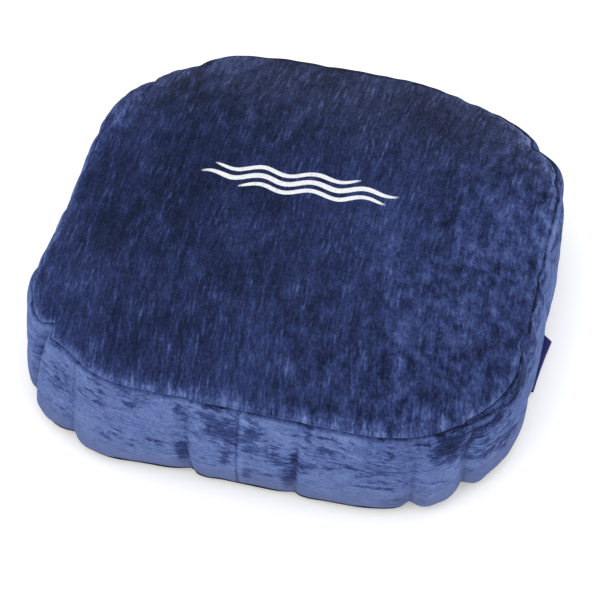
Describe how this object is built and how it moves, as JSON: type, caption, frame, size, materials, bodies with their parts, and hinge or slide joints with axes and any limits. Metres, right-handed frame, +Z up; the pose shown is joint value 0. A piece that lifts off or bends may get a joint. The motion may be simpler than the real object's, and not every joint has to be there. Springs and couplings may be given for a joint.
{
  "type": "wobble cushion",
  "caption": "Square plush wobble cushion: zipped cover over foam, with an air cell inside that lets the seat sink and rock on its non-slip base.",
  "frame": {"origin": "centre of the underside, on the surface that the cushion rests on", "axes": "+Z up through the seat; -Y towards the side with the join in its side band; +X towards the side label; +Y towards the zip"},
  "size_m": [0.3629, 0.3606, 0.087],
  "materials": {
    "plush_top": "crushed chenille plush, navy",
    "plush_side": "crushed chenille plush, pile lying so that it reads periwinkle blue",
    "grip_cloth": "black rubber-dotted non-slip cloth",
    "ribbon": "woven satin ribbon, indigo, blank",
    "zip_tape": "woven polyester tape, navy",
    "zip_teeth": "moulded nylon, navy",
    "zip_metal": "nickel-plated",
    "wadding": "white polyester wadding",
    "soft_foam": "soft open-cell polyurethane foam",
    "firm_foam": "firm reconstituted foam",
    "felt": "grey felt",
    "vinyl_film": "blue-grey vinyl film",
    "valve": "soft clear-white vinyl"
  },
  "bodies": {
    "base": {"boxing_left": "plush_side", "boxing_right": "plush_side", "zip_band_upper": "plush_side", "zip_band_lower": "plush_side", "bottom_panel": "grip_cloth", "side_label": "ribbon", "zip_tape_upper": "zip_tape", "zip_tape_lower": "zip_tape", "zip_coil_upper": "zip_teeth", "zip_coil_lower": "zip_teeth", "zip_stop_left": "zip_metal", "zip_stop_right": "zip_metal", "foam_wall_front": "firm_foam", "foam_wall_left": "firm_foam", "foam_wall_right": "firm_foam", "foam_wall_rear_left": "firm_foam", "foam_wall_rear_right": "firm_foam", "base_foam": "firm_foam", "air_cell_lower": "vinyl_film", "filler_tube": "valve"},
    "air_top": {"air_cell_upper": "vinyl_film"},
    "rocker": {"rocker_pad": "felt"},
    "seat": {"comfort_foam": "soft_foam", "top_wadding": "wadding", "top_panel": "plush_top"},
    "slider": {"zip_slider": "zip_metal"},
    "pull": {"zip_pull": "zip_metal"},
    "plug": {"valve_plug": "valve"}
  },
  "joints": [
    {"name": "seat_sink", "type": "slide", "parent": "base", "child": "air_top", "axis": [0, 0, 1], "range_m": [-0.009, 0], "stiffness_N_per_m": 28000, "springref_m": 0.001, "deforming": ["boxing_left", "boxing_right", "zip_band_lower", "zip_band_upper", "foam_wall_front", "foam_wall_left", "foam_wall_right", "foam_wall_rear_left", "foam_wall_rear_right", "air_cell_lower", "air_cell_upper", "rocker_pad"]},
    {"name": "rock_fore_aft", "type": "hinge", "parent": "air_top", "child": "rocker", "pos_m": [0, 0, 0.025], "axis": [1, 0, 0], "range_deg": [-3, 3], "stiffness_Nm_per_rad": 200},
    {"name": "rock_side", "type": "hinge", "parent": "rocker", "child": "seat", "pos_m": [0, 0, 0.025], "axis": [0, 1, 0], "range_deg": [-3, 3], "stiffness_Nm_per_rad": 200},
    {"name": "zip_slide", "type": "slide", "parent": "base", "child": "slider", "axis": [1, 0, 0], "range_m": [-0.127, 0]},
    {"name": "pull_swing", "type": "hinge", "parent": "slider", "child": "pull", "pos_m": [0.0635, 0.1812, 0.02], "axis": [0, 0, -1], "range_deg": [0, 165]},
    {"name": "plug_pull", "type": "slide", "parent": "base", "child": "plug", "axis": [0, 1, 0], "range_m": [0, 0.014]}
  ]
}
